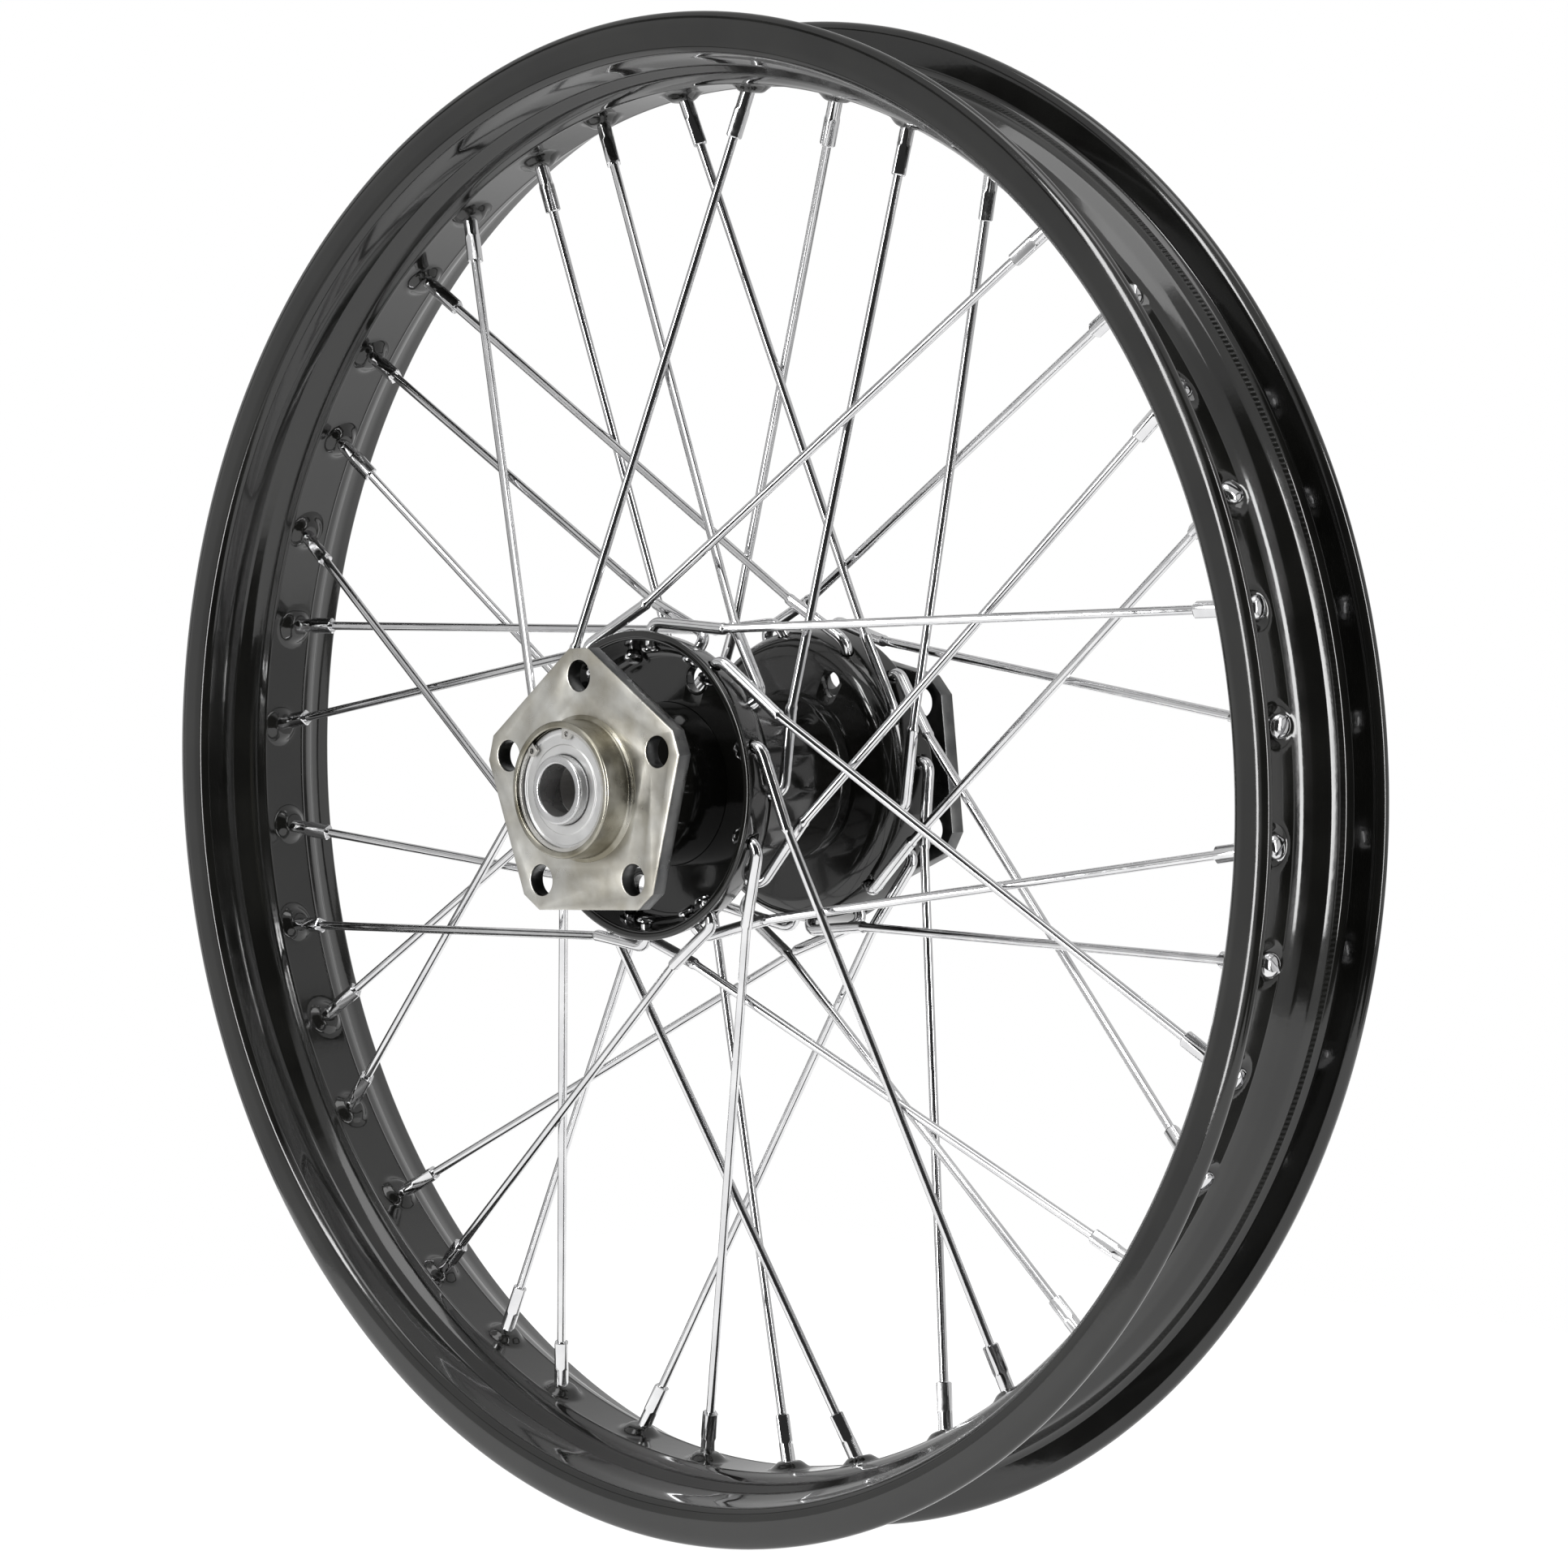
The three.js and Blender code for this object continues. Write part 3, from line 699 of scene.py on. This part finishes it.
def build_window_rims(label, side):
    """The raised lip that the press leaves round each wall hole."""
    for number, angle in enumerate((WINDOW_ANGLE[label], WINDOW_ANGLE[label] + 180)):
        lip = [
            (WINDOW_RADIUS - 0.1, 3.3, 0.2), (WINDOW_RADIUS + 1.4, 3.3, 0.2),
            (WINDOW_RADIUS + 0.9, 3.9, 0.5), (WINDOW_RADIUS + 0.2, 4.0, 0.3),
            (WINDOW_RADIUS - 0.1, 3.8, 0.2),
        ]
        outline = [(radius, side * (FLANGE_WALL_Y + y)) for radius, y in round_corners(lip)]
        mesh = revolve(f"{label}_window_lip_{number + 1}", outline, 48)
        centre = polar(WINDOW_CIRCLE_RADIUS, angle, 0)
        mesh.transform(Matrix.Translation(centre))
        smooth(mesh, 60)
        piece = new_object(mesh.name, mesh, paint)
        finish_piece(piece, WHEEL, "hub_paint", f"{label}_spoke_flange")


def build_disc_plate(label, side):
    """The five-sided plate, its faces bright and its sawn edges dark."""
    inner = PLATE_FACE_Y - PLATE_THICKNESS
    rings = []
    for y in (inner, PLATE_FACE_Y):
        rings.append([
            polar(PLATE_CORNER_RADIUS, BOLT_PHASE[label] + BOLT_PITCH * i + half, side * y)
            for i in range(BOLTS)
            for half in (-PLATE_CORNER_HALF_ANGLE, PLATE_CORNER_HALF_ANGLE)
        ])
    mesh = ring_mesh(f"{label}_disc_plate", rings, closed_rings=False, caps=True)
    piece = new_object(mesh.name, mesh, face_steel)
    reaches = (inner - 3, PLATE_FACE_Y + 3)
    cutters = [cylinder(*(Vector((0, side * y * MM, 0)) for y in reaches),
                        PLATE_BORE_RADIUS * MM, 96)]
    for i in range(BOLTS):
        ends = [polar(BOLT_CIRCLE_RADIUS, BOLT_PHASE[label] + BOLT_PITCH * i, side * y)
                for y in reaches]
        cutters.append(cylinder(*ends, BOLT_HOLE_RADIUS * MM, 40))
    cut(piece, cutters, 0.45)
    piece.data.materials.append(edge_steel)
    for face in piece.data.polygons:
        outward = side * face.normal.y
        face.material_index = 0 if outward > 0.3 else 1
    smooth(piece.data, 30)
    finish_piece(piece, WHEEL, "bare_steel", f"{label}_disc_flange")


def build_boss(label, side):
    """The bearing sleeve: spigot in the hub tube, boss through the plate, snap ring groove."""
    groove_inner, groove_outer = RING_OUTER_Y - 1.45, RING_OUTER_Y + 0.25
    outline = round_corners([
        (SLEEVE_BORE_RADIUS, SLEEVE_INNER_Y, 0.3), (SLEEVE_RADIUS, SLEEVE_INNER_Y, 0.3),
        (SLEEVE_RADIUS, PLATE_FACE_Y - 1, 0), (27.2, PLATE_FACE_Y + 0.05, 0.4),
        (25.3, PLATE_FACE_Y + 1.0, 0.8), (25.1, SLEEVE_OUTER_Y, 1.0),
        (23.0, SLEEVE_OUTER_Y, 0.4), (CUP_BORE_RADIUS, SLEEVE_OUTER_Y - 0.5, 0.2),
        (CUP_BORE_RADIUS, groove_outer, 0.1), (GROOVE_RADIUS, groove_outer, 0.1),
        (GROOVE_RADIUS, groove_inner, 0.1), (CUP_BORE_RADIUS, groove_inner, 0.1),
        (CUP_BORE_RADIUS, SLEEVE_INNER_Y + 3.7, 0.3),
        (SLEEVE_BORE_RADIUS, SLEEVE_INNER_Y + 3.7, 0.3),
    ])
    mesh = revolve(f"{label}_boss", on_side(outline, side), 160)
    smooth(mesh, 30)
    piece = new_object(mesh.name, mesh, boss_steel)
    finish_piece(piece, WHEEL, "bare_steel", f"{label}_disc_flange")


def build_seal(label, side):
    """A pressed steel disc with a raised outer rim and a shallow step."""
    outer = SEAL_OUTER_Y
    outline = round_corners([
        (SEAL_BORE_RADIUS, outer - 2.4, 0.3), (20.9, outer - 2.4, 0.3), (20.9, outer - 5.6, 0.3),
        (SEAL_RADIUS, outer - 5.6, 0.3), (SEAL_RADIUS, outer, 0.5), (20.6, outer, 0.3),
        (20.2, outer - 0.4, 0.3), (16.6, outer - 0.4, 0.3), (16.3, outer - 0.1, 0.3),
        (13.4, outer - 0.1, 0.3), (SEAL_BORE_RADIUS, outer - 0.4, 0.3),
    ])
    mesh = revolve(f"{label}_seal_disc", on_side(outline, side), 160)
    smooth(mesh, 35)
    piece = new_object(mesh.name, mesh, seal_steel)
    finish_piece(piece, WHEEL, "seal_steel", f"{label}_grease_seal")


def build_snap_ring(label, side):
    """A spring ring open between two eyed lugs."""
    start, end = RING_FIRST_EYE - LUG_SPAN / 2, RING_LAST_EYE + LUG_SPAN / 2
    inner_y, outer_y = side * (RING_OUTER_Y - RING_THICKNESS), side * RING_OUTER_Y
    steps = 180
    rings = []
    for k in range(steps + 1):
        angle = start + (end - start) * k / steps
        from_end = min(angle - start, end - angle)
        rise = min(max((LUG_SPAN - from_end) / LUG_ROUND, 0.0), 1.0)
        depth = RING_BAND + (LUG_DEPTH - RING_BAND) * rise * rise * (3 - 2 * rise)
        inner = RING_RADIUS - depth
        rings.append([
            polar(inner, angle, inner_y), polar(RING_RADIUS, angle, inner_y),
            polar(RING_RADIUS, angle, outer_y), polar(inner, angle, outer_y),
        ])
    mesh = ring_mesh(f"{label}_ring", rings, closed_rings=False, caps=True)
    piece = new_object(mesh.name, mesh, ring_steel)
    reach = RING_RADIUS - LUG_DEPTH + EYE_INSET
    cutters = []
    for angle in (RING_FIRST_EYE, RING_LAST_EYE):
        ends = [polar(reach, angle, side * (RING_OUTER_Y + along)) for along in (-4, 4)]
        cutters.append(cylinder(*ends, EYE_RADIUS * MM, 20))
    cut(piece, cutters, 0.15)
    smooth(piece.data, 30)
    finish_piece(piece, WHEEL, "ring_steel", f"{label}_snap_ring")


def build_collar(label, side):
    """The plain ring on the axle that the seal runs on."""
    outline = round_corners([
        (COLLAR_BORE_RADIUS, COLLAR_INNER_Y, 0.3), (COLLAR_RADIUS, COLLAR_INNER_Y, 0.3),
        (COLLAR_RADIUS, COLLAR_END_Y, 1.1), (COLLAR_BORE_RADIUS, COLLAR_END_Y, 0.9),
    ])
    mesh = revolve(f"{label}_collar", on_side(outline, side), 128)
    smooth(mesh, 30)
    piece = new_object(mesh.name, mesh, collar_steel)
    finish_piece(piece, CORE, "collar_steel", f"{label}_axle_collar")


def repaint_hidden_nodes():
    """The bearings and the spacer keep their CAD meshes and get turned steel."""
    names = ["axle_spacer"]
    for label in SIDES:
        names += [f"{label}_bearing_cup", f"{label}_bearing_cone", f"{label}_roller_cage"]
    for name in names:
        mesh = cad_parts[name].data
        mesh.materials.clear()
        mesh.materials.append(bearing_steel)


# ---- studio ------------------------------------------------------------------------------

CAMERA_PLACE = Vector((1.388176, -1.398716, 0.112837))
CAMERA_AIM = Vector((-0.69625, 0.71546, -0.05792))
CAMERA_LENS = 120.59
TENT = 0.64                        # how bright the tent looks in the metal and the paint
GAP_LIGHT = 0.03
SEAM_COSINE = 0.86                 # a dark seam round the tent on each side
SEAM_HALF_WIDTH = 0.025
SEAM_LIGHT = 0.15
GAP_EDGE = (0.68, 0.74)            # cosines of the angles where the gap fades in
STRIP_POWER = 19                   # watts
TOP_POWER = 9
FLOOR_HALF_SIZE = 0.6
FLOOR_DROP = 0.0005                # keeps the floor clear of the rim


def build_camera():
    data = bpy.data.cameras.new("camera")
    data.lens = CAMERA_LENS
    data.sensor_width = 36
    data.clip_start = 0.01
    camera = bpy.data.objects.new("camera", data)
    camera.location = CAMERA_PLACE
    camera.rotation_euler = CAMERA_AIM.to_track_quat("-Z", "Y").to_euler()
    bpy.context.scene.collection.objects.link(camera)
    bpy.context.scene.camera = camera


def add_panel(name, place, width, height, power):
    """A soft light panel that faces the wheel."""
    data = bpy.data.lights.new(name, "AREA")
    data.shape = "RECTANGLE"
    data.size = width
    data.size_y = height
    data.energy = power
    panel = bpy.data.objects.new(name, data)
    panel.location = place
    panel.rotation_euler = (-Vector(place)).to_track_quat("-Z", "Y").to_euler()
    panel.visible_camera = False
    bpy.context.scene.collection.objects.link(panel)


def build_studio():
    """A white tent, two bright strips, a panel above and a plain floor.

    The tent has a dark gap on the side that the photograph was taken from, and a dark seam on
    each side. It is fixed in the scene. Only what the camera sees directly is plain white.
    """
    world = bpy.data.worlds.new("studio")
    world.use_nodes = True
    tree = world.node_tree
    background = tree.nodes["Background"]
    background.inputs["Color"].default_value = (1, 1, 1, 1)
    ahead = Vector((CAMERA_AIM.x, CAMERA_AIM.y, 0)).normalized()
    right = ahead.cross(Vector((0, 0, 1)))
    up = Vector((0, 0, 0.3))
    place = add(tree, "ShaderNodeTexCoord")
    facing = add(tree, "ShaderNodeVectorMath", operation="DOT_PRODUCT")
    facing.inputs[1].default_value = -ahead
    tree.links.new(place.outputs["Generated"], facing.inputs[0])
    gap = spread(tree, facing.outputs["Value"], TENT, GAP_LIGHT, *GAP_EDGE)
    sideways = add(tree, "ShaderNodeVectorMath", operation="DOT_PRODUCT")
    sideways.inputs[1].default_value = right
    tree.links.new(place.outputs["Generated"], sideways.inputs[0])
    away = calculate(tree, "ABSOLUTE", sideways.outputs["Value"])
    on_seam = calculate(tree, "COMPARE", away, SEAM_COSINE, SEAM_HALF_WIDTH)
    open_cloth = spread(tree, on_seam, 1.0, SEAM_LIGHT, 0.0, 1.0)
    tent = calculate(tree, "MULTIPLY", gap, open_cloth)
    path = add(tree, "ShaderNodeLightPath")
    strength = add(tree, "ShaderNodeMix", data_type="FLOAT")
    strength.inputs["B"].default_value = 1.0
    tree.links.new(path.outputs["Is Camera Ray"], strength.inputs["Factor"])
    tree.links.new(tent, strength.inputs["A"])
    tree.links.new(strength.outputs["Result"], background.inputs["Strength"])
    bpy.context.scene.world = world

    bpy.context.scene.view_settings.view_transform = "Standard"

    for name, across in (("left_strip", -right), ("right_strip", right)):
        add_panel(name, across * 1.25 - ahead * 1.05 + up, 0.26, 1.8, STRIP_POWER)
    add_panel("top_panel", Vector((0, 0, 1.7)) - ahead * 0.5, 1.3, 0.9, TOP_POWER)

    mesh = bpy.data.meshes.new("floor")
    bm = bmesh.new()
    bmesh.ops.create_grid(bm, x_segments=1, y_segments=1, size=FLOOR_HALF_SIZE)
    bm.to_mesh(mesh)
    bm.free()
    floor_material, _, shader = new_material("floor", (0.15, 0.15, 0.15), 0.9, 0.0)
    shader.inputs["Specular IOR Level"].default_value = 0.0
    shader.inputs["Emission Color"].default_value = (1, 1, 1, 1)
    shader.inputs["Emission Strength"].default_value = 1.0
    floor = new_object("floor", mesh, floor_material)
    floor.location.z = FLOOR_Z - FLOOR_DROP


build_camera()
build_studio()
build_rim()
build_barrel()
for label, side in SIDES.items():
    build_spoke_flange(label, side)
    build_window_rims(label, side)
    build_disc_plate(label, side)
    build_boss(label, side)
    build_seal(label, side)
    build_snap_ring(label, side)
    build_collar(label, side)
build_spokes()
repaint_hidden_nodes()
